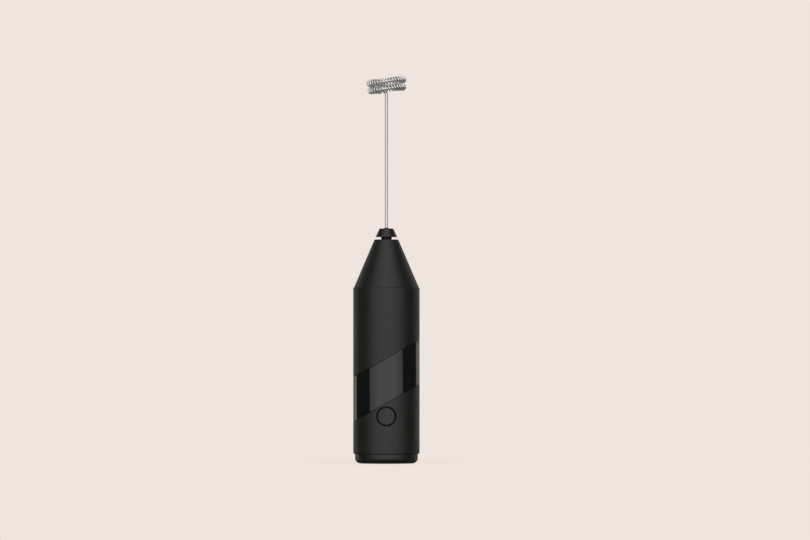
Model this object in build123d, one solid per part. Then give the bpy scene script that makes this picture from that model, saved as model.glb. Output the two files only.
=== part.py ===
from build123d import *
import os
import math

# Hand-held battery milk frother standing on its base cap, whisk upwards.
# Millimetres. Origin: centre of the base, on the surface it stands on.
# +Z up along the handle, front (push button) towards -Y, +X to the right.

# ------------------------------------------------------------ driving sizes
TOTAL_H = 210.0          # base to top of the whisk
BODY_R = 18.0            # handle outer radius
BORE_R = 16.2            # handle inner radius
SLEEVE_R = 17.1          # outer radius of the accent ring's inner sleeve
SHELL_Z0 = 5.1           # lower end of the lower shell
BAND_LO = 33.0           # slanted lower edge of the accent ring, height on the axis
BAND_HI = 56.8           # slanted upper edge, height on the axis
BAND_SLOPE = 0.565       # rise per mm of x of both slanted edges
SEAM = 0.03              # gap at each slanted parting line
SEAM_EDGE = 0.3          # chamfer of the shells' outer edges at the parting lines
LAP = 1.6                # length of the sleeve's lap under the lower shell
LAP_HI = 6.0             # length of its lap under the upper shell
SHELL_Z1 = 95.3          # top of the upper shell, foot of the nose cone
CONE_R0 = 17.6           # cone radius at its foot
CONE_R1 = 6.45           # cone radius at its top
CONE_Z1 = 121.35         # top of the nose cone
WALL = 1.9
BTN_Z = 25.7             # push button height
BTN_R = 4.68             # push button radius
BTN_HOLE_R = 5.48        # hole for button and gasket
BTN_TRAVEL = 1.2
CELL_R = 7.25            # AA cell
CELL_X = 7.35            # cell axes, left and right
CELL_Y = 1.5             # cell axes, set back to leave room for the switch
CELL_BORE_R = 7.5
CAN_R = 11.9             # motor can
CAN_Z0, CAN_Z1 = 77.5, 103.4
SHAFT_R = 1.0            # motor shaft
HUB_R = 2.9              # rotating neck
BUSH_R = 2.98            # bore of the nose bush
WIRE_R = 0.8             # whisk wire
COIL_R = 1.95            # outside of the spring wound on the whisk
COIL_BORE_R = 1.27       # inside of it
LOOP_R = 8.9             # mean radius of the whisk's loop
LOOP_Z = 201.97          # height of the whisk's arm
LOOP_PITCH = 4.0         # rise of the loop for each turn
LEAD_R = 0.6             # insulated lead

os.makedirs("parts", exist_ok=True)
NODES = {}


def cyl(r, z0, z1, x=0.0, y=0.0):
    """Upright cylinder from z0 to z1."""
    return Pos(x, y, (z0 + z1) / 2) * Cylinder(r, z1 - z0)


def ring(ro, ri, z0, z1, x=0.0, y=0.0):
    """Upright tube from z0 to z1."""
    return cyl(ro, z0, z1, x, y) - cyl(ri, z0 - 1, z1 + 1, x, y)


def box(x0, x1, y0, y1, z0, z1):
    return Pos((x0 + x1) / 2, (y0 + y1) / 2, (z0 + z1) / 2) * Box(x1 - x0, y1 - y0, z1 - z0)


def ycyl(r, y0, y1, x=0.0, z=0.0):
    """Cylinder lying along Y from y0 to y1."""
    return Pos(x, (y0 + y1) / 2, z) * Rot(90, 0, 0) * Cylinder(r, y1 - y0)


def lathe(pts):
    """Solid of revolution about Z from (r, z) points."""
    with BuildPart() as p:
        with BuildSketch(Plane.XZ):
            with BuildLine():
                Polyline(*pts, close=True)
            make_face()
        revolve(axis=Axis.Z)
    return p.part


def below(h):
    """Everything under the slanted plane z = h + BAND_SLOPE * x."""
    tilt = math.degrees(math.atan(BAND_SLOPE))
    return Pos(0, 0, h) * Rot(0, -tilt, 0) * Pos(0, 0, -100) * Box(200, 200, 200)


def above(h):
    """Everything over the slanted plane z = h + BAND_SLOPE * x."""
    tilt = math.degrees(math.atan(BAND_SLOPE))
    return Pos(0, 0, h) * Rot(0, -tilt, 0) * Pos(0, 0, 100) * Box(200, 200, 200)


def tube_on(path, r):
    """Round bar along a path."""
    start = Plane(origin=path @ 0, z_dir=path % 0)
    return sweep(start * Circle(r), path=path)


def corner_radii(pts, share=0.45, cap=1e9):
    """Largest tangent arcs for a route: share of the shorter run at each corner."""
    out = []
    for i in range(1, len(pts) - 1):
        a = Vector(*pts[i]) - Vector(*pts[i - 1])
        b = Vector(*pts[i + 1]) - Vector(*pts[i])
        turn = math.radians(a.get_angle(b))
        out.append(min(share * min(a.length, b.length) / math.tan(turn / 2), cap))
    return out


def coil(turns, r, wire_r, pitch_fn, centre, axis="z", per=8, phase=0.0):
    """Open coil spring: straight runs joined by tangent arcs round a helix."""
    pts = []
    for i in range(int(turns * per) + 1):
        a = phase + 2 * math.pi * i / per
        h = pitch_fn(i / per)
        if axis == "z":
            pts.append((centre[0] + r * math.cos(a), centre[1] + r * math.sin(a), centre[2] + h))
        else:
            pts.append((centre[0] + r * math.cos(a), centre[1] + h, centre[2] + r * math.sin(a)))
    path = FilletPolyline(*pts, radius=corner_radii(pts, 0.47))
    return tube_on(path, wire_r)


def keep(name, shape):
    shape = Part(shape.wrapped) if not isinstance(shape, Part) else shape
    shape.label = name
    NODES[name] = shape
    export_step(shape, os.path.join("parts", name + ".step"))


def edge_ring(shape, z, r, tol=0.05):
    """Circular edges lying at height z with radius r."""
    return [e for e in shape.edges().filter_by(GeomType.CIRCLE)
            if abs(e.arc_center.Z - z) < tol and abs(e.radius - r) < tol]


# ------------------------------------------------------------ handle shells
bore = cyl(BORE_R, -10, 120)
button_hole = ycyl(BTN_HOLE_R, -30, -5, 0, BTN_Z)

# Lower shell: tube cut on a slant, counterbored for the accent ring's sleeve,
# with a ledge that carries the inner frame and a keyway for the base cap.
lower = Rot(0, 0, 37.5) * cyl(BODY_R, SHELL_Z0, 60)
lower = chamfer(edge_ring(lower, SHELL_Z0, BODY_R), 0.5)
lower = lower & below(BAND_LO)
lower = chamfer(lower.faces().sort_by(Axis.Z)[-1].edges(), SEAM_EDGE)
lower = lower - bore
lower = lower - (cyl(SLEEVE_R + 0.02, 10, 60) & above(BAND_LO - LAP - 0.1))
lower = lower + ring(BORE_R + 0.3, 15.2, 11.2, 12.6)
lower = lower - box(-1.7, 1.7, 14.0, 17.1, 0, 11.3)
lower = lower - button_hole
keep("lower_shell", lower)

# Accent ring: gloss ring between the two slanted parting lines, with a sleeve
# that laps under both shells.
band = cyl(BODY_R, 10, 90) & above(BAND_LO + SEAM) & below(BAND_HI - SEAM)
sleeve = cyl(SLEEVE_R, 10, 90) & above(BAND_LO - LAP) & below(BAND_HI + LAP_HI)
band = band + sleeve - bore
band = band - ycyl(BTN_HOLE_R + 0.6, -30, 0, 0, BTN_Z)
keep("accent_band", band)

# Upper shell: tube from the slanted line to the foot of the cone, counterbored
# for the sleeve, with an annular groove for the nose cone's snap bead.
upper = cyl(BODY_R, 30, SHELL_Z1)
upper = fillet(edge_ring(upper, SHELL_Z1, BODY_R), 0.4)
upper = upper & above(BAND_HI)
upper = chamfer(upper.faces().sort_by(Axis.Z)[0].edges(), SEAM_EDGE)
upper = upper - bore
upper = upper - (cyl(SLEEVE_R + 0.02, 10, 90) & below(BAND_HI + LAP_HI + 0.1))
upper = upper - ring(16.6, 10, 91.2, 92.6)
keep("upper_shell", upper)

# Nose cone: hollow cone with a spigot and snap bead, and a bored nose.
slope = (CONE_R0 - CONE_R1) / (CONE_Z1 - SHELL_Z1 - 0.02)
foot = SHELL_Z1 + 0.02
inner_z = 112.6
cone = lathe([
    (14.6, 88.0), (16.1, 88.0), (16.15, 90.9), (16.15, 91.4), (16.5, 91.8), (16.5, 92.2),
    (16.15, 92.5), (16.15, foot), (CONE_R0, foot), (CONE_R1, CONE_Z1), (3.4, CONE_Z1),
    (3.4, 120.2), (4.5, 120.2), (4.5, inner_z), (CONE_R0 - slope * (inner_z - foot) - WALL, inner_z),
    (CONE_R0 - WALL - 0.2, foot + 0.5), (14.6, foot - 1.6)])
cone = fillet(edge_ring(cone, CONE_Z1, CONE_R1), 0.5)
cone = fillet(edge_ring(cone, foot, CONE_R0), 0.08)
keep("nose_cone", cone)

# Nose bush: flanged sleeve that carries the rotating neck.
bush = lathe([(BUSH_R, 111.4), (5.9, 111.4), (5.9, inner_z), (4.5, inner_z), (4.5, 120.1), (BUSH_R, 120.1)])
keep("nose_bush", bush)

# ------------------------------------------------------------ inner frame
# Two cell cradles joined by discs, an end plate over the cells, board bosses.
cells = cyl(CELL_BORE_R, 0, 66, -CELL_X, CELL_Y) + cyl(CELL_BORE_R, 0, 66, CELL_X, CELL_Y)
cradles = cyl(CELL_BORE_R + 0.95, 12.7, 66, -CELL_X, CELL_Y) + cyl(CELL_BORE_R + 0.95, 12.7, 66, CELL_X, CELL_Y)
frame = cradles + cyl(15.9, 12.7, 14.2) + cyl(15.9, 38.0, 39.6) + cyl(15.9, 66.0, 67.6)
frame = frame + ycyl(2.1, -7.4, 0, 0, 17.7) + ycyl(2.1, -7.4, 0, 0, 33.7)
frame = frame & cyl(15.9, 0, 100)
frame = frame - cells
# lead channel at the front of the discs
frame = frame - box(-6.2, 6.2, -17, -9.7, 37, 68)
# screw holes of the two board bosses
frame = frame - ycyl(0.8, -8, -2.2, 0, 17.7) - ycyl(0.8, -8, -2.2, 0, 33.7)
# contact slots through the end plate
frame = frame - box(9.4, 11.4, -5.6, -4.9, 65, 69) - box(-11.4, -9.4, -5.6, -4.9, 65, 69)
# vent holes through the cradle walls at the back
for sz in (24.0, 52.0):
    frame = frame - box(-10.5, -4.5, 6.5, 20, sz - 5, sz + 5) - box(4.5, 10.5, 6.5, 20, sz - 5, sz + 5)
keep("inner_frame", frame)

# Motor cradle: seat on the frame's end plate, windows at the bottom.
cradle = ring(15.9, 14.2, 67.7, 87.9) + ring(15.9, 11.0, 74.0, 75.8) + ring(15.9, 13.3, 74.0, 84.0)
cradle = cradle - box(-6.5, 6.5, -20, -8, 66, 73.2) - box(-6.5, 6.5, 8, 20, 69, 73.2)
cradle = cradle - box(-20, -12, -5, 5, 69, 73.2) - box(12, 20, -5, 5, 69, 73.2)
keep("motor_cradle", cradle)

# Rubber damper sleeve round the motor's lower end.
keep("motor_damper", ring(13.25, CAN_R, 76.0, 83.9) + ring(13.25, 10.2, 75.8, 77.4))

# ------------------------------------------------------------ motor
can = cyl(CAN_R, CAN_Z0, CAN_Z1)
can = fillet(edge_ring(can, CAN_Z1, CAN_R), 1.6)
can = can - cyl(CAN_R - 1.0, CAN_Z0 - 1, CAN_Z1 - 1.0)
can = can + cyl(3.6, CAN_Z1 - 1.0, CAN_Z1 + 1.8)
can = can - cyl(2.6, CAN_Z1 - 2, CAN_Z1 + 3)
for a in (0, 180):
    can = can - Rot(0, 0, a) * cyl(1.1, CAN_Z1 - 2, CAN_Z1 + 1, 7.5, 0)
keep("motor_can", can)

end_bell = cyl(CAN_R - 1.0, CAN_Z0, 80.0) + cyl(4.2, 74.6, 80.0)
end_bell = end_bell - cyl(2.6, 74.0, 76.6) - cyl(1.4, 70, 90)
end_bell = end_bell - cyl(9.6, 78.9, 81) - cyl(3.4, 77.6, 81)
for s in (-1, 1):
    end_bell = end_bell - box(s * 8 - 0.3, s * 8 + 0.3, -1.3, 1.3, 70, 82)
keep("motor_end_bell", end_bell)

keep("motor_front_bearing", ring(2.6, SHAFT_R + 0.03, 102.6, CAN_Z1 + 1.8))
keep("motor_rear_bearing", ring(2.6, SHAFT_R + 0.03, 74.6, 76.6))

mag = ring(10.9, 9.0, 82.4, 100.0)
mags = None
for s in (-1, 1):
    seg = mag & (box(0, 20, -20, 20, 80, 105) if s > 0 else box(-20, 0, -20, 20, 80, 105))
    seg = seg - box(-4.2, 4.2, -20, 20, 80, 105)
    mags = seg if mags is None else mags + seg
keep("motor_magnets", mags)

# Brush leaves, fixed to the terminals, bearing on the commutator.
leaves = None
for s in (-1, 1):
    leaf = box(min(s * 2.66, s * 2.96), max(s * 2.66, s * 2.96), -0.9, 0.9, 79.1, 81.4)
    leaf = leaf + box(min(s * 2.66, s * 8.2), max(s * 2.66, s * 8.2), -0.9, 0.9, 81.4, 81.7)
    leaves = leaf if leaves is None else leaves + leaf
keep("motor_brushes", leaves)

tabs = None
for s in (-1, 1):
    tab = box(s * 8 - 0.25, s * 8 + 0.25, -1.2, 1.2, 70.2, 81.35)
    tab = tab - Pos(s * 8, 0, 71.4) * Rot(0, 90, 0) * Cylinder(0.5, 3)
    tabs = tab if tabs is None else tabs + tab
keep("motor_terminals", tabs)

# Noise capacitor: small disc between the terminals on two bent legs.
cap_disc = ycyl(2.2, 1.7, 3.7, 0, 71.9)
cap_disc = fillet(cap_disc.edges().filter_by(GeomType.CIRCLE), 0.5)
keep("noise_capacitor", cap_disc)
legs = None
for s in (-1, 1):
    pts = [(s * 2.22, 2.7, 71.9), (s * 3.8, 2.7, 71.9), (s * 5.6, 0.2, 72.7), (s * 7.72, 0.2, 72.7)]
    leg = tube_on(FilletPolyline(*pts, radius=corner_radii(pts, 0.4, 1.2)), 0.25)
    legs = leg if legs is None else legs + leg
keep("capacitor_legs", legs)

# ------------------------------------------------------------ rotor
keep("motor_shaft", cyl(SHAFT_R, 74.2, 112.0))

core = None
for k in range(3):
    pole = box(1.2, 7.0, -1.3, 1.3, 84.0, 98.0)
    shoe = ring(8.5, 7.0, 84.0, 98.0) & (Rot(0, 0, -50) * box(0, 20, 0, 20, 80, 100)) & (Rot(0, 0, -40) * box(0, 20, 0, 20, 80, 100))
    arm = Rot(0, 0, 120 * k) * (pole + shoe)
    core = arm if core is None else core + arm
core = core + cyl(2.6, 84.0, 98.0) - cyl(SHAFT_R, 80, 100)
keep("armature_core", core)

windings = None
for k in range(3):
    w = box(3.0, 6.7, -3.0, 3.0, 82.6, 99.4) - box(2.0, 8.0, -1.35, 1.35, 83.9, 98.1)
    w = w & (cyl(6.6, 80, 101))
    w = w & (Rot(0, 0, -58) * box(0.3, 20, 0.3, 20, 80, 101)) & (Rot(0, 0, -32) * box(0.3, 20, 0.3, 20, 80, 101))
    w = Rot(0, 0, 120 * k) * w
    windings = w if windings is None else windings + w
keep("armature_windings", windings)

segs = ring(2.6, SHAFT_R, 78.6, 82.4)
for k in range(3):
    segs = segs - Rot(0, 0, 120 * k + 60) * box(1.6, 4, -0.15, 0.15, 78, 83)
keep("commutator", segs)

# Drive coupling: neck that grips the motor shaft and the whisk wire, with the
# drip collar on top and a small boss round the wire.
coupling = lathe([
    (0, 106.4), (HUB_R - 0.4, 106.4), (HUB_R, 106.8), (HUB_R, 121.75), (HUB_R - 0.12, 122.1), (HUB_R, 122.45),
    (3.4, 122.65), (5.7, 122.65), (5.82, 122.8), (3.8, 127.15), (3.6, 127.3), (1.15, 127.3),
    (1.0, 127.75), (0, 127.75)])
coupling = coupling - cyl(SHAFT_R, 100, 112.0) - cyl(WIRE_R, 114.0, 130)
keep("drive_coupling", coupling)


def loop_z(turn):
    """Height of the loop's centre line after a part turn from the left side."""
    return LOOP_Z + LOOP_PITCH * turn - 0.30 * math.sin(4 * math.pi * turn)


# Whisk wire: straight stem, bend to the left, radial arm, then the loop, which
# climbs anticlockwise seen from above: left, front, right, back, left, front, right.
LOOP_TURNS = 1.55
STEP = 1 / 12
loop_pts = []
n = int(round((LOOP_TURNS) / STEP))
for i in range(1, n + 1):
    t = i * STEP
    a = math.pi + 2 * math.pi * t
    loop_pts.append((LOOP_R * 1.033 * math.cos(a), LOOP_R * 1.033 * math.sin(a), loop_z(t)))
stem_pts = [(0, 0, 114.2), (0, 0, LOOP_Z), (-LOOP_R - 0.05, -0.02, LOOP_Z)] + loop_pts
radii = [2.3, 2.2] + corner_radii(stem_pts[2:], 0.45)
t_corner = 2.2 * math.tan(math.radians((Vector(*stem_pts[2]) - Vector(*stem_pts[1])).get_angle(Vector(*stem_pts[3]) - Vector(*stem_pts[2]))) / 2)
first_run = (Vector(*stem_pts[3]) - Vector(*stem_pts[2])).length
turn3 = math.radians((Vector(*stem_pts[3]) - Vector(*stem_pts[2])).get_angle(Vector(*stem_pts[4]) - Vector(*stem_pts[3])))
radii[2] = min(radii[2], 0.95 * (first_run - t_corner) / math.tan(turn3 / 2))
print("whisk corner radii", [round(r, 2) for r in radii])
wire_path = FilletPolyline(*stem_pts, radius=radii)
stem = tube_on(wire_path, WIRE_R)
print("whisk wire: volume", round(stem.volume, 2), "section x length", round(math.pi * WIRE_R ** 2 * wire_path.length, 2))
keep("whisk_stem", stem)

# The spring wound on the arm and loop, as a closed sleeve of its outside and
# inside sizes. It starts a little way out along the arm.
coil_pts = [(-2.7, 0.0, LOOP_Z)] + stem_pts[2:]
coil_path = FilletPolyline(*coil_pts, radius=radii[1:])
sleeve_out = tube_on(coil_path, COIL_R)
sleeve_in = tube_on(coil_path, COIL_BORE_R)
whisk_coil = sleeve_out - sleeve_in
print("whisk coil: volume", round(whisk_coil.volume, 2), "section x length",
      round(math.pi * (COIL_R ** 2 - COIL_BORE_R ** 2) * coil_path.length, 2))
keep("whisk_coil", whisk_coil)

# ------------------------------------------------------------ cells and contacts
# Left cell stands on its positive nub, right cell on its flat end.
left = cyl(CELL_R, 14.2, 63.7, -CELL_X, CELL_Y)
left = fillet([e for e in left.edges().filter_by(GeomType.CIRCLE)], 0.6)
left = left + cyl(2.75, 13.2, 14.3, -CELL_X, CELL_Y)
keep("battery_left", left)
right = cyl(CELL_R, 14.3, 63.8, CELL_X, CELL_Y)
right = fillet([e for e in right.edges().filter_by(GeomType.CIRCLE)], 0.6)
right = right + cyl(2.75, 63.7, 64.8, CELL_X, CELL_Y)
keep("battery_right", right)

# Positive contact over the right cell: plate, raised pip, solder tag.
pos_plate = cyl(6.2, 65.5, 65.95, CELL_X, CELL_Y) + cyl(2.2, 64.8, 65.6, CELL_X, CELL_Y)
pos_plate = pos_plate + box(9.6, 11.2, -5.5, 0, 65.5, 65.95) + box(9.6, 11.2, -5.5, -5.0, 65.5, 69.4)
keep("positive_contact", pos_plate)
neg_plate = cyl(6.2, 65.5, 65.95, -CELL_X, CELL_Y)
neg_plate = neg_plate + box(-11.2, -9.6, -5.5, 0, 65.5, 65.95) + box(-11.2, -9.6, -5.5, -5.0, 65.5, 69.4)
keep("negative_contact", neg_plate)
top_spring = coil(2, 4.2, 0.25, lambda t: 0.62 * t, (-CELL_X, CELL_Y, 63.98), per=8)
keep("negative_spring", top_spring)

# ------------------------------------------------------------ switch and button
board = box(-6.4, 6.4, -8.4, -7.45, 15.2, 36.4)
board = board - ycyl(1.05, -10, -6, 0, 17.7) - ycyl(1.05, -10, -6, 0, 33.7)
keep("switch_board", board)

body = box(-4, 4, -12.6, -8.45, BTN_Z - 4, BTN_Z + 4)
body = fillet(body.edges().filter_by(Axis.Y), 0.5)
body = body - ycyl(2.3, -12.0, -9.0, 0, BTN_Z) - ycyl(1.6, -13, -9, 0, BTN_Z)
keep("switch_body", body)

plunger = ycyl(1.5, -13.55, -10.9, 0, BTN_Z) + ycyl(2.15, -11.95, -10.9, 0, BTN_Z)
keep("switch_plunger", plunger)

keep("switch_spring", coil(2.5, 1.55, 0.1, lambda t: t * 0.62, (0, -10.76, BTN_Z), axis="y", per=8))

# Screws of the board: pan head and shank along Y.
screws = None
for sz in (17.7, 33.7):
    s = ycyl(1.8, -9.7, -8.4, 0, sz)
    s = fillet([e for e in s.edges().filter_by(GeomType.CIRCLE) if e.arc_center.Y < -9], 0.5)
    s = s + ycyl(0.8, -8.5, -2.6, 0, sz)
    s = s - box(-1.1, 1.1, -10, -9.2, sz - 0.2, sz + 0.2) - box(-0.2, 0.2, -10, -9.2, sz - 1.1, sz + 1.1)
    screws = s if screws is None else screws + s
keep("board_screws", screws)

# Button gasket: dark ring in the shell's hole, set back from the surface.
gasket = ycyl(BTN_HOLE_R, -30, -14.9, 0, BTN_Z) - ycyl(BTN_R + 0.1, -31, -14, 0, BTN_Z)
gasket = gasket & cyl(BODY_R - 1.3, 0, 60)
keep("button_gasket", gasket)

# Push button: cap with the handle's own curvature, inner flange, push post.
button = ycyl(BTN_R, -30, -14.0, 0, BTN_Z) & cyl(BODY_R, 0, 60)
button = fillet([e for e in button.edges() if (e @ 0.3).Y < -15.5 and (e @ 0.8).Y < -15.5], 0.3)
button = button + ycyl(6.0, -14.8, -13.86, 0, BTN_Z)
button = button + ycyl(1.3, -13.95, -13.6, 0, BTN_Z)
keep("push_button", button)

# ------------------------------------------------------------ base cap
cap = lathe([
    (0, 0), (17.05, 0), (17.05, 5.07), (15.9, 5.07), (15.9, 6.9), (14.5, 6.9), (14.5, 8.7),
    (15.9, 8.7), (15.9, 10.4), (15.5, 10.8), (13.0, 10.8), (13.0, 2.0), (0, 2.0)])
cap = fillet(edge_ring(cap, 0, 17.05), 2.9)
cap = cap + (box(-1.5, 1.5, 15.0, 16.9, 4.8, 6.7) & cyl(16.9, 0, 12))
for a in range(0, 360, 60):
    cap = cap + Rot(0, 0, a) * box(4.0, 13.2, -0.6, 0.6, 1.9, 5.0)
keep("base_cap", cap)

seal = Pos(0, 0, 7.8) * Torus(15.33, 0.8)
keep("cap_seal", seal)

disc = cyl(14.9, 10.9, 12.0) + ring(12.9, 11.4, 8.4, 11.0)
disc = disc - box(-10.1, 10.1, -4.2 + CELL_Y, 4.2 + CELL_Y, 11.55, 13)
keep("contact_disc", disc)

bridge = box(-10.0, 10.0, -4.0 + CELL_Y, 4.0 + CELL_Y, 11.6, 12.0)
bridge = bridge + lathe([(0, 11.9), (2.6, 11.9), (1.6, 13.15), (0, 13.15)]).moved(Location((-CELL_X, CELL_Y, 0)))
keep("contact_bridge", bridge)

keep("bridge_spring", coil(2.5, 4.2, 0.25, lambda t: t * 0.7, (CELL_X - 1.9, CELL_Y, 12.27), per=8))

# ------------------------------------------------------------ leads
# Red lead: positive tag down the front channel to the board.
LEADS = {
    "lead_red": [(9.55, -5.25, 68.4), (7.9, -5.25, 68.4), (6.4, -9.6, 68.9), (4.3, -12.4, 66.5), (3.4, -13.1, 58.0),
                 (3.2, -13.2, 48.0), (3.8, -12.9, 39.5), (4.9, -12.2, 34.2), (4.9, -8.45, 33.8)],
    "lead_switch": [(-4.9, -8.45, 33.8), (-4.9, -12.2, 34.2), (-3.8, -12.9, 39.5), (-3.2, -13.2, 48.0),
                    (-3.4, -13.1, 58.0), (-3.6, -12.6, 66.5), (0.2, -8.6, 69.6), (5.2, -3.4, 68.9),
                    (8.0, 0.0, 68.2), (8.0, 0.0, 70.15)],
    "lead_black": [(-9.55, -5.25, 68.4), (-7.6, -5.25, 68.4), (-7.2, -2.4, 68.3), (-8.0, 0.0, 68.3), (-8.0, 0.0, 70.15)],
}
for name, pts in LEADS.items():
    rr = corner_radii(pts, 0.45)
    print(name, "corner radii", [round(r, 2) for r in rr])
    path = FilletPolyline(*pts, radius=rr)
    lead = tube_on(path, LEAD_R)
    print(name, "volume", round(lead.volume, 2), "section x length", round(math.pi * LEAD_R ** 2 * path.length, 2))
    keep(name, lead)

lo = [min(tuple(b.bounding_box().min)[k] for b in NODES.values()) for k in range(3)]
hi = [max(tuple(b.bounding_box().max)[k] for b in NODES.values()) for k in range(3)]
print(len(NODES), "nodes, box", [round(v, 3) for v in lo], [round(v, 3) for v in hi])
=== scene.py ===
import math

import bpy
import numpy as np
from mathutils import Matrix, Vector


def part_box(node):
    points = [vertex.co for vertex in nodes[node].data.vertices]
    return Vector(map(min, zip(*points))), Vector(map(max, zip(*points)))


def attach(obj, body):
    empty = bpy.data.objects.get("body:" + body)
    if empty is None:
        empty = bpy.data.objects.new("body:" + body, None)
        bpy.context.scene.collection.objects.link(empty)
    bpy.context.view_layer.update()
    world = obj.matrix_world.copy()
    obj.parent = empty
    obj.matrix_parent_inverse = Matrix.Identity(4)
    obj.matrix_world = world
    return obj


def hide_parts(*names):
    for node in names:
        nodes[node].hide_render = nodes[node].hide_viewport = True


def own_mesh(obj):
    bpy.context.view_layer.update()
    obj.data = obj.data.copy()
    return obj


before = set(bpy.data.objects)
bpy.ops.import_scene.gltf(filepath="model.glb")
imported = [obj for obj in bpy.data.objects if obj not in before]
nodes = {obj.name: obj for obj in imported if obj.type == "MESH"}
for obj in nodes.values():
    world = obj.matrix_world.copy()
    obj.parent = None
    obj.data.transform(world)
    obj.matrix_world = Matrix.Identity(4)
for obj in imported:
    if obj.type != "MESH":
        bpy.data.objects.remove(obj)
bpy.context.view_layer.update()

scene = bpy.context.scene
MM = 0.001


def srgb(r, g, b):
    """Linear colour from 0-255 display values."""
    out = []
    for v in (r, g, b):
        v = v / 255.0
        out.append(v / 12.92 if v <= 0.04045 else ((v + 0.055) / 1.055) ** 2.4)
    return (out[0], out[1], out[2], 1.0)


BG = srgb(238, 229, 222)

# ------------------------------------------------------------------ colour
scene.view_settings.view_transform = "Standard"
scene.view_settings.look = "None"
scene.view_settings.exposure = 0.0
scene.view_settings.gamma = 1.0


# ------------------------------------------------------------------ node helpers
class Tree:
    """Short-hand for building a node tree."""

    def __init__(self, tree):
        self.t = tree
        self.n = tree.nodes
        self.l = tree.links

    def new(self, kind, **props):
        node = self.n.new(kind)
        for k, v in props.items():
            setattr(node, k, v)
        return node

    def put(self, value, socket):
        if isinstance(value, bpy.types.NodeSocket):
            self.l.new(value, socket)
        else:
            socket.default_value = value

    def math(self, op, a, b=0.0, c=None, clamp=False):
        node = self.new("ShaderNodeMath", operation=op, use_clamp=clamp)
        self.put(a, node.inputs[0])
        self.put(b, node.inputs[1])
        if c is not None:
            self.put(c, node.inputs[2])
        return node.outputs[0]

    def remap(self, v, a, b, lo=0.0, hi=1.0, smooth=True):
        node = self.new("ShaderNodeMapRange", clamp=True)
        node.interpolation_type = "SMOOTHSTEP" if smooth else "LINEAR"
        self.put(v, node.inputs["Value"])
        for k, x in (("From Min", a), ("From Max", b), ("To Min", lo), ("To Max", hi)):
            self.put(x, node.inputs[k])
        return node.outputs["Result"]

    def mix(self, f, a, b, blend="MIX"):
        node = self.new("ShaderNodeMix", data_type="RGBA", blend_type=blend)
        self.put(f, node.inputs[0])
        self.put(a, node.inputs[6])
        self.put(b, node.inputs[7])
        return node.outputs[2]


def material(name, color, rough, metallic=0.0, ior=1.5, grain=4200.0, grain_depth=0.02, blotch=90.0,
             rough_var=0.05, tint=None, tint_amount=0.25, coat=0.0, coat_rough=0.05, aniso=0.0,
             streak=None, streak_depth=0.0, spec=0.5):
    """Moulded plastic, rubber or metal: grain in the bump, slow changes in roughness and tint.
    Sizes are in 1/m for the textures and mm for the depths."""
    m = bpy.data.materials.new(name)
    m.use_nodes = True
    T = Tree(m.node_tree)
    bsdf = m.node_tree.nodes["Principled BSDF"]
    co = T.new("ShaderNodeTexCoord").outputs["Object"]
    slow = T.new("ShaderNodeTexNoise")
    T.put(co, slow.inputs["Vector"])
    slow.inputs["Scale"].default_value = blotch
    slow.inputs["Detail"].default_value = 3.0
    slow.inputs["Roughness"].default_value = 0.55
    fine = T.new("ShaderNodeTexNoise")
    T.put(co, fine.inputs["Vector"])
    fine.inputs["Scale"].default_value = grain
    fine.inputs["Detail"].default_value = 2.0
    fine.inputs["Roughness"].default_value = 0.6
    tint = tint or tuple(min(1.0, c * 1.35 + 0.002) for c in color[:3]) + (1.0,)
    f = T.remap(slow.outputs["Fac"], 0.35, 0.7, 0.0, tint_amount)
    speck = T.remap(fine.outputs["Fac"], 0.45, 0.75, 0.0, tint_amount * 0.6)
    f2 = T.math("ADD", f, speck, clamp=True)
    T.put(T.mix(f2, color, tint), bsdf.inputs["Base Color"])
    T.put(T.remap(slow.outputs["Fac"], 0.3, 0.7, max(0.02, rough - rough_var), min(1.0, rough + rough_var)),
          bsdf.inputs["Roughness"])
    bsdf.inputs["Metallic"].default_value = metallic
    bsdf.inputs["IOR"].default_value = ior
    bsdf.inputs["Specular IOR Level"].default_value = spec
    bsdf.inputs["Coat Weight"].default_value = coat
    bsdf.inputs["Coat Roughness"].default_value = coat_rough
    bsdf.inputs["Anisotropic"].default_value = aniso
    height = fine.outputs["Fac"]
    bump = T.new("ShaderNodeBump")
    bump.inputs["Strength"].default_value = 1.0
    bump.inputs["Distance"].default_value = grain_depth * MM
    T.put(height, bump.inputs["Height"])
    normal = bump.outputs["Normal"]
    if streak is not None:
        mp = T.new("ShaderNodeMapping")
        mp.inputs["Scale"].default_value = streak
        T.put(co, mp.inputs["Vector"])
        sn = T.new("ShaderNodeTexNoise")
        T.put(mp.outputs["Vector"], sn.inputs["Vector"])
        sn.inputs["Scale"].default_value = 1.0
        sn.inputs["Detail"].default_value = 4.0
        b2 = T.new("ShaderNodeBump")
        b2.inputs["Strength"].default_value = 1.0
        b2.inputs["Distance"].default_value = streak_depth * MM
        T.put(sn.outputs["Fac"], b2.inputs["Height"])
        T.put(normal, b2.inputs["Normal"])
        normal = b2.outputs["Normal"]
    T.put(normal, bsdf.inputs["Normal"])
    return m


def put(mat, *names):
    for n in names:
        o = nodes[n]
        o.data.materials.clear()
        o.data.materials.append(mat)


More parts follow.
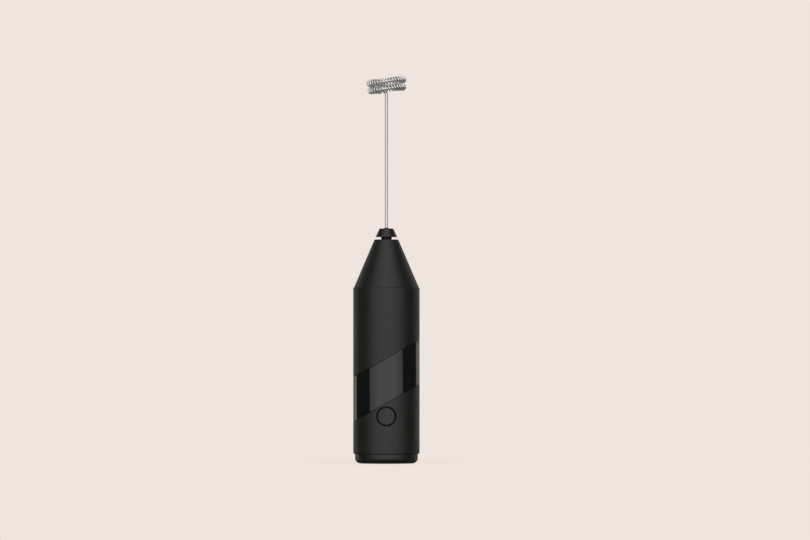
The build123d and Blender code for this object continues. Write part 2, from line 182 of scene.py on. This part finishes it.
# ------------------------------------------------------------------ materials
M = {}
M["body"] = material("body_matte_black", (0.0055, 0.0062, 0.0055, 1), 0.46, ior=1.48, grain=5200, grain_depth=0.006,
                     blotch=70, rough_var=0.03, tint=(0.008, 0.0088, 0.0078, 1), tint_amount=0.6)
M["button"] = material("button_matte_black", (0.0055, 0.0062, 0.0055, 1), 0.46, grain=5200, grain_depth=0.006,
                       blotch=160, rough_var=0.03, tint=(0.008, 0.0088, 0.0078, 1), tint_amount=0.6)
M["band"] = material("band_gloss_black", (0.0035, 0.0042, 0.0038, 1), 0.045, ior=1.5, grain=900, grain_depth=0.0004,
                     blotch=55, rough_var=0.02, tint=(0.005, 0.006, 0.0055, 1), tint_amount=0.4)
M["cap"] = material("cap_matte_black", (0.0050, 0.0056, 0.0050, 1), 0.44, grain=5200, grain_depth=0.005,
                    blotch=90, rough_var=0.03, tint=(0.0075, 0.0082, 0.0072, 1), tint_amount=0.6)
M["collar"] = material("collar_black", (0.0055, 0.006, 0.0055, 1), 0.42, grain=5200, grain_depth=0.005, blotch=160,
                       rough_var=0.04, tint_amount=0.5)
M["gasket"] = material("gasket_black_rubber", (0.003, 0.003, 0.003, 1), 0.75, grain=7000, grain_depth=0.01, blotch=300,
                       rough_var=0.06, spec=0.3)
M["seal"] = material("seal_rubber", (0.02, 0.02, 0.02, 1), 0.6, grain=6000, grain_depth=0.01, blotch=200, rough_var=0.08)
M["wire"] = material("whisk_steel", (0.64, 0.635, 0.625, 1), 0.13, metallic=0.86, grain=9000, grain_depth=0.0003, blotch=260,
                     rough_var=0.03, tint=(0.60, 0.595, 0.585, 1), tint_amount=0.4, streak=(5000, 5000, 150), streak_depth=0.0004)
M["spring"] = material("spring_steel", (0.84, 0.835, 0.825, 1), 0.10, metallic=0.85, grain=9000, grain_depth=0.0003, blotch=400,
                       rough_var=0.03, tint=(0.80, 0.79, 0.775, 1), tint_amount=0.4)
M["motor_steel"] = material("motor_zinc_steel", (0.48, 0.49, 0.50, 1), 0.32, metallic=1.0, grain=2600, grain_depth=0.004,
                            blotch=240, rough_var=0.1, tint=(0.38, 0.39, 0.40, 1), tint_amount=0.6,
                            streak=(1500, 1500, 60), streak_depth=0.003)
M["lamination"] = material("lamination_steel", (0.26, 0.27, 0.29, 1), 0.45, metallic=1.0, grain=3000, grain_depth=0.004,
                           blotch=300, rough_var=0.1, streak=(40, 40, 4000), streak_depth=0.02)
M["frame"] = material("frame_grey_plastic", (0.50, 0.51, 0.50, 1), 0.55, grain=3600, grain_depth=0.01, blotch=90,
                      rough_var=0.06, tint=(0.44, 0.45, 0.44, 1), tint_amount=0.5)
M["motor_plastic"] = material("motor_cream_plastic", (0.70, 0.68, 0.62, 1), 0.42, grain=3600, grain_depth=0.008,
                              blotch=160, rough_var=0.06, tint=(0.62, 0.60, 0.54, 1), tint_amount=0.5)
M["insulator"] = material("insulator_dark_plastic", (0.035, 0.035, 0.038, 1), 0.5, grain=4200, grain_depth=0.01,
                          blotch=160, rough_var=0.07)
M["bronze"] = material("sintered_bronze", (0.42, 0.26, 0.13, 1), 0.42, metallic=1.0, grain=6500, grain_depth=0.012,
                       blotch=400, rough_var=0.1, tint=(0.30, 0.19, 0.10, 1), tint_amount=0.7)
M["copper"] = material("bare_copper", (0.72, 0.34, 0.20, 1), 0.28, metallic=1.0, grain=4000, grain_depth=0.003,
                       blotch=300, rough_var=0.08, tint=(0.55, 0.24, 0.13, 1), tint_amount=0.6)
M["winding"] = material("enamelled_winding", (0.50, 0.17, 0.07, 1), 0.25, metallic=0.7, grain=5000, grain_depth=0.004,
                        blotch=300, rough_var=0.08, streak=(60, 60, 9), streak_depth=0.01, coat=0.5, coat_rough=0.12)
M["nickel"] = material("nickel_contact", (0.62, 0.59, 0.53, 1), 0.22, metallic=1.0, grain=5000, grain_depth=0.003,
                       blotch=220, rough_var=0.08, tint=(0.52, 0.49, 0.44, 1), tint_amount=0.5,
                       streak=(200, 3000, 200), streak_depth=0.002)
M["magnet"] = material("ferrite_magnet", (0.045, 0.045, 0.05, 1), 0.6, grain=4500, grain_depth=0.02, blotch=300,
                       rough_var=0.1)
M["ceramic"] = material("capacitor_ceramic", (0.50, 0.20, 0.06, 1), 0.35, grain=3000, grain_depth=0.01, blotch=500,
                        rough_var=0.06, coat=0.4, coat_rough=0.15)
M["red"] = material("lead_red_pvc", (0.42, 0.016, 0.014, 1), 0.38, grain=4200, grain_depth=0.006, blotch=200, rough_var=0.06)
M["black"] = material("lead_black_pvc", (0.014, 0.014, 0.014, 1), 0.4, grain=4200, grain_depth=0.006, blotch=200, rough_var=0.06)
M["white"] = material("lead_white_pvc", (0.66, 0.65, 0.60, 1), 0.4, grain=4200, grain_depth=0.006, blotch=200, rough_var=0.06)
M["screw"] = material("screw_black_zinc", (0.20, 0.20, 0.21, 1), 0.32, metallic=1.0, grain=5000, grain_depth=0.004,
                      blotch=600, rough_var=0.08)


def board_material():
    """Green board: solder mask over wandering traces."""
    m = material("board_green_mask", (0.012, 0.10, 0.045, 1), 0.28, grain=2500, grain_depth=0.006, blotch=200,
                 rough_var=0.06, coat=0.4, coat_rough=0.12)
    T = Tree(m.node_tree)
    bsdf = m.node_tree.nodes["Principled BSDF"]
    co = T.new("ShaderNodeTexCoord").outputs["Object"]
    wave = T.new("ShaderNodeTexWave", wave_type="BANDS", bands_direction="X")
    T.put(co, wave.inputs["Vector"])
    wave.inputs["Scale"].default_value = 130.0
    wave.inputs["Distortion"].default_value = 3.0
    wave.inputs["Detail Scale"].default_value = 0.6
    tr = T.remap(wave.outputs["Fac"], 0.78, 0.86, 0.0, 1.0)
    old = bsdf.inputs["Base Color"].links[0].from_socket
    T.put(T.mix(tr, old, (0.02, 0.20, 0.085, 1)), bsdf.inputs["Base Color"])
    return m


def cell_material(name, lo_z, hi_z, nub_up):
    """Cell: bright ends, a dark jacket and a copper-coloured shoulder at the positive end."""
    m = material(name, (0.02, 0.021, 0.023, 1), 0.22, metallic=0.0, grain=2600, grain_depth=0.003, blotch=120,
                 rough_var=0.05, coat=0.6, coat_rough=0.08)
    T = Tree(m.node_tree)
    bsdf = m.node_tree.nodes["Principled BSDF"]
    co = T.new("ShaderNodeTexCoord").outputs["Object"]
    sep = T.new("ShaderNodeSeparateXYZ")
    T.put(co, sep.inputs[0])
    z = sep.outputs["Z"]
    if nub_up:
        shoulder = T.remap(z, hi_z - 9.0 * MM, hi_z - 8.9 * MM)
        steel = T.math("MAXIMUM", T.remap(z, hi_z - 0.55 * MM, hi_z - 0.5 * MM), T.remap(z, lo_z + 0.55 * MM, lo_z + 0.5 * MM))
    else:
        shoulder = T.remap(z, lo_z + 9.0 * MM, lo_z + 8.9 * MM)
        steel = T.math("MAXIMUM", T.remap(z, hi_z - 0.55 * MM, hi_z - 0.5 * MM), T.remap(z, lo_z + 0.55 * MM, lo_z + 0.5 * MM))
    old = bsdf.inputs["Base Color"].links[0].from_socket
    c1 = T.mix(shoulder, old, (0.46, 0.20, 0.07, 1))
    T.put(T.mix(steel, c1, (0.60, 0.59, 0.56, 1)), bsdf.inputs["Base Color"])
    T.put(T.math("MAXIMUM", steel, T.math("MULTIPLY", shoulder, 0.85)), bsdf.inputs["Metallic"])
    return m


put(M["body"], "lower_shell", "upper_shell", "nose_cone")
put(M["band"], "accent_band")
put(M["button"], "push_button")
put(M["cap"], "base_cap")
put(M["collar"], "drive_coupling")
put(M["gasket"], "button_gasket")
put(M["seal"], "cap_seal", "motor_damper")
put(M["wire"], "whisk_stem")
put(M["spring"], "negative_spring", "bridge_spring", "switch_spring")
put(M["motor_steel"], "motor_can", "motor_shaft")
put(M["lamination"], "armature_core")
put(M["frame"], "inner_frame", "motor_cradle")
put(M["motor_plastic"], "motor_end_bell")
put(M["insulator"], "switch_body", "switch_plunger", "contact_disc")
put(M["bronze"], "nose_bush", "motor_front_bearing", "motor_rear_bearing")
put(M["copper"], "motor_brushes", "commutator")
put(M["winding"], "armature_windings")
put(M["nickel"], "positive_contact", "negative_contact", "motor_terminals", "capacitor_legs", "contact_bridge")
put(M["magnet"], "motor_magnets")
put(M["ceramic"], "noise_capacitor")
put(M["red"], "lead_red")
put(M["black"], "lead_black")
put(M["white"], "lead_switch")
put(M["screw"], "board_screws")
put(board_material(), "switch_board")
for cell, up in (("battery_left", False), ("battery_right", True)):
    lo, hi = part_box(cell)
    body_lo = lo.z + (0.0 if up else 1.0 * MM)
    body_hi = hi.z - (1.0 * MM if up else 0.0)
    put(cell_material(cell + "_jacket", body_lo, body_hi, up), cell)


# ------------------------------------------------------------------ whisk spring
LOOP_R, LOOP_Z, LOOP_PITCH, LOOP_TURNS = 8.9, 201.97, 4.0, 1.55
SPRING_R, SPRING_WIRE = 1.61, 0.34


def loop_z(turn):
    return LOOP_Z + LOOP_PITCH * turn - 0.30 * math.sin(4 * math.pi * turn)


def filleted(points, radii, step=0.25):
    """Dense samples along straight runs joined by tangent arcs."""
    pts = [np.array(p, float) for p in points]
    out = [pts[0]]
    for i in range(1, len(pts) - 1):
        a = pts[i - 1] - pts[i]
        b = pts[i + 1] - pts[i]
        ua, ub = a / np.linalg.norm(a), b / np.linalg.norm(b)
        turn = math.pi - math.acos(float(np.clip(ua @ ub, -1, 1)))
        t = radii[i - 1] * math.tan(turn / 2)
        start, end = pts[i] + ua * t, pts[i] + ub * t
        mid = (ua + ub) / np.linalg.norm(ua + ub)
        centre = pts[i] + mid * (radii[i - 1] / math.cos(turn / 2))
        n = max(2, int(radii[i - 1] * turn / step) + 1)
        va, vb = start - centre, end - centre
        ang = math.acos(float(np.clip(va @ vb / (np.linalg.norm(va) * np.linalg.norm(vb)), -1, 1)))
        for k in range(n + 1):
            s = k / n
            out.append(centre + (math.sin((1 - s) * ang) * va + math.sin(s * ang) * vb) / math.sin(ang))
    out.append(pts[-1])
    return np.array(out)


def resample(p, step):
    seg = np.linalg.norm(np.diff(p, axis=0), axis=1)
    keepers = np.concatenate([[True], seg > 1e-6])
    p = p[keepers]
    s = np.concatenate([[0], np.cumsum(np.linalg.norm(np.diff(p, axis=0), axis=1))])
    n = int(s[-1] / step) + 1
    q = np.linspace(0, s[-1], n)
    return np.stack([np.interp(q, s, p[:, k]) for k in range(3)], 1), s[-1]


def smooth(p, rounds):
    for _ in range(rounds):
        q = p.copy()
        q[1:-1] = 0.25 * p[:-2] + 0.5 * p[1:-1] + 0.25 * p[2:]
        p = q
    return p


def frames(p):
    """Rotation-minimising frames along a path."""
    t = np.gradient(p, axis=0)
    t /= np.linalg.norm(t, axis=1)[:, None]
    n = np.zeros_like(p)
    ref = np.array([0, 0, 1.0])
    v = ref - t[0] * (ref @ t[0])
    n[0] = v / np.linalg.norm(v)
    for i in range(1, len(p)):
        v = n[i - 1] - t[i] * (n[i - 1] @ t[i])
        n[i] = v / np.linalg.norm(v)
    return t, n, np.cross(t, n)


def tube_mesh(name, p, radius, sides, taper=None):
    """Closed tube mesh along dense points, with rounded ends."""
    t, n, b = frames(p)
    rad = np.full(len(p), radius)
    cap_n = 3
    head, tail, hr, tr = [], [], [], []
    for k in range(cap_n):
        a = math.pi / 2 * (k + 0.35) / cap_n
        head.append(p[0] - t[0] * radius * math.cos(a)); hr.append(radius * math.sin(a))
        tail.append(p[-1] + t[-1] * radius * math.cos(a)); tr.append(radius * math.sin(a))
    P = np.array(head + list(p) + tail[::-1])
    R = np.array(hr + list(rad) + tr[::-1])
    N = np.array([n[0]] * cap_n + list(n) + [n[-1]] * cap_n)
    B = np.array([b[0]] * cap_n + list(b) + [b[-1]] * cap_n)
    ang = np.linspace(0, 2 * math.pi, sides, endpoint=False)
    ring = P[:, None] + R[:, None, None] * (np.cos(ang)[None, :, None] * N[:, None] + np.sin(ang)[None, :, None] * B[:, None])
    verts = ring.reshape(-1, 3) * MM
    m = len(P)
    faces = []
    for i in range(m - 1):
        for j in range(sides):
            k = (j + 1) % sides
            faces.append((i * sides + j, i * sides + k, (i + 1) * sides + k, (i + 1) * sides + j))
    verts = list(map(tuple, verts))
    verts.append(tuple((P[0] - t[0] * radius * 0.03) * MM))
    verts.append(tuple((P[-1] + t[-1] * radius * 0.03) * MM))
    for j in range(sides):
        k = (j + 1) % sides
        faces.append((len(verts) - 2, k, j))
        faces.append((len(verts) - 1, (m - 1) * sides + j, (m - 1) * sides + k))
    me = bpy.data.meshes.new(name)
    me.from_pydata(verts, [], faces)
    me.validate()
    me.update()
    for poly in me.polygons:
        poly.use_smooth = True
    o = bpy.data.objects.new(name, me)
    scene.collection.objects.link(o)
    return o


def whisk_spring():
    step = 1 / 12
    n = int(round(LOOP_TURNS / step))
    loop = []
    for i in range(1, n + 1):
        t = i * step
        a = math.pi + 2 * math.pi * t
        loop.append((LOOP_R * 1.033 * math.cos(a), LOOP_R * 1.033 * math.sin(a), loop_z(t)))
    pts = [(-2.9, 0, LOOP_Z), (-LOOP_R - 0.05, -0.02, LOOP_Z)] + loop
    radii = [2.2, 6.1] + [7.75] * (len(pts) - 4)
    path, _ = resample(filleted(pts, radii), 0.1)
    path = smooth(path, 60)
    path, length = resample(path, 0.085)
    # pitch closes up over the first and last turns
    s = np.linspace(0, length, len(path))
    end = np.minimum(s, length - s)
    pitch = 0.72 + (1.48 - 0.72) * np.clip((end - 0.7) / 1.6, 0, 1) ** 1.0
    theta = np.concatenate([[0], np.cumsum(2 * math.pi / pitch[1:] * np.diff(s))])
    t, nn, bb = frames(path)
    wob = 1.0 + 0.012 * np.sin(s * 1.9) + 0.01 * np.sin(s * 4.7 + 1.0)
    helix = path + SPRING_R * wob[:, None] * (np.cos(theta)[:, None] * nn + np.sin(theta)[:, None] * bb)
    helix, hl = resample(helix, 0.42)
    o = tube_mesh("whisk_spring", helix, SPRING_WIRE, 8)
    o.data.materials.append(M["spring"])
    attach(o, "rotor")
    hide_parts("whisk_coil")
    return o


spring = whisk_spring()


def switch_return_spring():
    """Coil between the plunger and the floor of the switch body. It rides with the handle and keeps its length."""
    zc, turns, y0, pitch, wire, r = 25.7, 2.5, -10.76, 0.62, 0.10, 1.55
    k = np.linspace(0, turns, 140)
    a = 2 * math.pi * k
    p = np.stack([r * np.cos(a), y0 + pitch * k, zc + r * np.sin(a)], 1)
    o = tube_mesh("switch_return_spring", p, wire, 10)
    o.data.materials.append(M["spring"])
    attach(o, "handle")
    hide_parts("switch_spring")
    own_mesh(o)
    return o


switch_return_spring()

# ------------------------------------------------------------------ floor
FLOOR_R = 0.34
seg = 128
verts = [(0.0, 0.0, 0.0)]
rings = 14
for i in range(1, rings + 1):
    r = FLOOR_R * (i / rings) ** 1.5
    for j in range(seg):
        a = 2 * math.pi * j / seg
        verts.append((r * math.cos(a), r * math.sin(a), 0.0))
faces = [(0, 1 + j, 1 + (j + 1) % seg) for j in range(seg)]
for i in range(rings - 1):
    for j in range(seg):
        a, b = 1 + i * seg + j, 1 + i * seg + (j + 1) % seg
        faces.append((a, a + seg, b + seg, b))
me = bpy.data.meshes.new("floor")
me.from_pydata(verts, [], faces)
me.update()
floor = bpy.data.objects.new("floor", me)
scene.collection.objects.link(floor)
fm = bpy.data.materials.new("floor_pale")
fm.use_nodes = True
F = Tree(fm.node_tree)
fb = fm.node_tree.nodes["Principled BSDF"]
fco = F.new("ShaderNodeTexCoord").outputs["Object"]
fn = F.new("ShaderNodeTexNoise")
F.put(fco, fn.inputs["Vector"])
fn.inputs["Scale"].default_value = 900.0
fn.inputs["Detail"].default_value = 2.0
FLOOR_DIFF, FLOOR_EMIT = 0.35, 0.81
fbump = F.new("ShaderNodeBump")
fbump.inputs["Strength"].default_value = 0.3
fbump.inputs["Distance"].default_value = 0.00002
F.put(fn.outputs["Fac"], fbump.inputs["Height"])
F.put(fbump.outputs["Normal"], fb.inputs["Normal"])
fb.inputs["Base Color"].default_value = (0.785 * FLOOR_DIFF, 0.722 * FLOOR_DIFF, 0.69 * FLOOR_DIFF, 1)
fb.inputs["Roughness"].default_value = 1.0
fb.inputs["Specular IOR Level"].default_value = 0.0
fb.inputs["Emission Color"].default_value = BG
fb.inputs["Emission Strength"].default_value = FLOOR_EMIT
me.materials.append(fm)
floor.visible_glossy = False

# ------------------------------------------------------------------ studio light
world = bpy.data.worlds.new("studio")
scene.world = world
world.use_nodes = True
W = Tree(world.node_tree)
W.n.clear()
d = W.new("ShaderNodeTexCoord").outputs["Generated"]
norm = W.new("ShaderNodeVectorMath", operation="NORMALIZE")
W.put(d, norm.inputs[0])
sep = W.new("ShaderNodeSeparateXYZ")
W.put(norm.outputs[0], sep.inputs[0])
x, y, z = sep.outputs
deg = 180 / math.pi
az = W.math("MULTIPLY", W.math("ARCTAN2", x, W.math("MULTIPLY", y, -1.0)), deg)
aaz = W.math("ABSOLUTE", az)
el = W.math("MULTIPLY", W.math("ARCSINE", z), deg)

FRONT_L, SIDE_L, BACK_L, TAIL_L, TOP_L, LOW_L, NADIR_L = 1.46, 0.052, 0.74, 0.30, 1.0, 0.09, 0.06
front = W.math("MULTIPLY", W.remap(az, 61.0, 57.0), W.remap(az, -61.5, -58.5))
front = W.math("MULTIPLY", front, W.remap(el, -16.0, -11.0))
front = W.math("MULTIPLY", front, W.remap(el, 78.0, 66.0))
front = W.math("MULTIPLY", front, W.remap(aaz, 22.0, 58.0, 1.0, 0.62))
front = W.math("MULTIPLY", front, W.remap(el, 12.0, 60.0, 1.0, 0.82))
back = W.remap(aaz, 123.0, 130.0)
back = W.math("MULTIPLY", back, W.remap(el, 80.0, 60.0))
back = W.math("MULTIPLY", back, W.remap(el, -24.0, -9.0))
back_level = W.remap(aaz, 141.0, 149.0, BACK_L, TAIL_L)
top = W.remap(el, 58.0, 72.0)
low = W.math("MULTIPLY", W.remap(el, -11.0, -16.0), W.remap(aaz, 120.0, 100.0))
level = W.math("MULTIPLY", front, FRONT_L)
level = W.math("MAXIMUM", level, W.math("MULTIPLY", back, back_level))
level = W.math("MAXIMUM", level, W.math("MULTIPLY", top, TOP_L))
side = W.math("MULTIPLY", W.math("SUBTRACT", 1.0, low), SIDE_L)
level = W.math("MAXIMUM", level, W.math("ADD", side, W.math("MULTIPLY", low, LOW_L)))
level = W.math("MAXIMUM", level, W.remap(el, -42.0, -66.0, 0.0, NADIR_L))
tone = W.mix(back, (1.0, 1.005, 0.985, 1), (1.0, 0.93, 0.88, 1))
lit = W.new("ShaderNodeBackground")
W.put(tone, lit.inputs["Color"])
W.put(level, lit.inputs["Strength"])
plain = W.new("ShaderNodeBackground")
plain.inputs["Color"].default_value = BG
plain.inputs["Strength"].default_value = 1.0
path = W.new("ShaderNodeLightPath")
mixer = W.new("ShaderNodeMixShader")
W.put(path.outputs["Is Camera Ray"], mixer.inputs[0])
W.l.new(lit.outputs[0], mixer.inputs[1])
W.l.new(plain.outputs[0], mixer.inputs[2])
out = W.new("ShaderNodeOutputWorld")
W.l.new(mixer.outputs[0], out.inputs["Surface"])

# ------------------------------------------------------------------ camera
cam_data = bpy.data.cameras.new("camera")
cam_data.lens = 400.0
cam_data.sensor_width = 36.0
cam_data.clip_start = 0.1
cam_data.clip_end = 60.0
cam = bpy.data.objects.new("camera", cam_data)
scene.collection.objects.link(cam)
cam.location = (0.01008, -4.88, 0.1048)
cam.rotation_euler = (math.pi / 2, 0, 0)
scene.camera = cam
